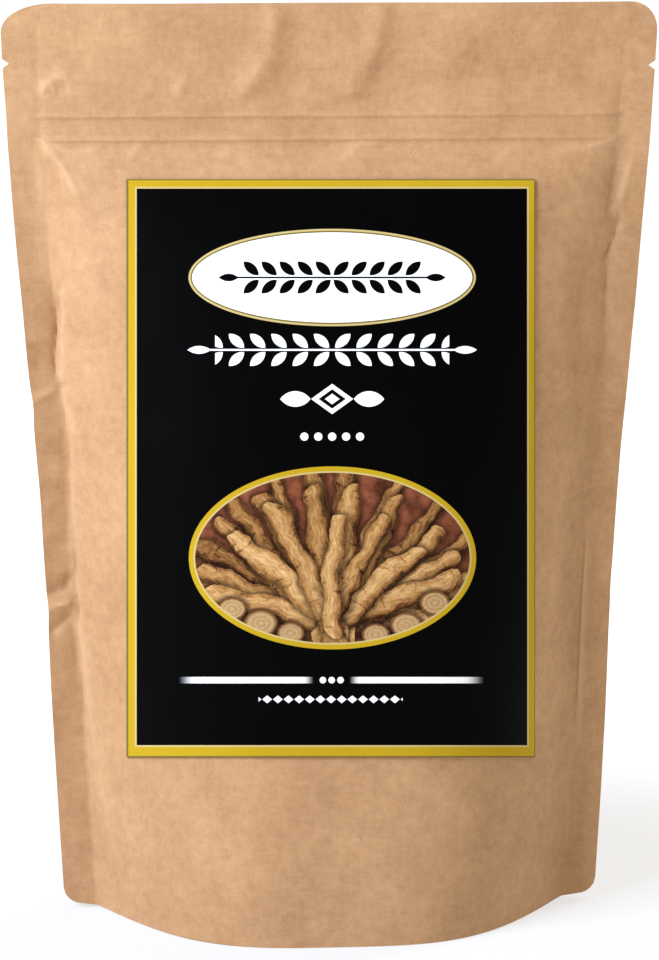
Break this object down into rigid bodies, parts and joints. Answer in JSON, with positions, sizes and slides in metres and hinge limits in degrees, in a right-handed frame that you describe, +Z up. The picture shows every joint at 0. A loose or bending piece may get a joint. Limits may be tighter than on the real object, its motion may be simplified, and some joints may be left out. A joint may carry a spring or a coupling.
{
  "type": "kraft paper stand-up pouch",
  "caption": "Closed kraft paper stand-up pouch with bottom gusset, press zip, tear notches and a bordered front label, filled with dried root pieces.",
  "frame": {"origin": "on the floor under the middle of the standing pouch", "axes": "+Z up the pouch from its base to its header, -Y out of the label on the front, +X to the right when the label is read"},
  "size_m": [0.1596, 0.0684, 0.2288],
  "materials": {
    "kraft_paper": "uncoated, fibrous",
    "gusset_paper": "uncoated, fibrous",
    "zip_plastic": "translucent, satin",
    "label_print": "printed, satin",
    "dried_root": "dry, wrinkled"
  },
  "bodies": {
    "root": {"front_panel": "kraft_paper", "back_panel": "kraft_paper", "bottom_gusset": "gusset_paper", "zip_rib_strip": "zip_plastic", "zip_groove_strip": "zip_plastic", "label": "label_print", "root_01": "dried_root", "root_02": "dried_root", "root_03": "dried_root", "root_04": "dried_root", "root_05": "dried_root", "root_06": "dried_root", "root_07": "dried_root", "root_08": "dried_root", "root_09": "dried_root", "root_10": "dried_root", "root_11": "dried_root", "root_12": "dried_root"}
  },
  "joints": []
}
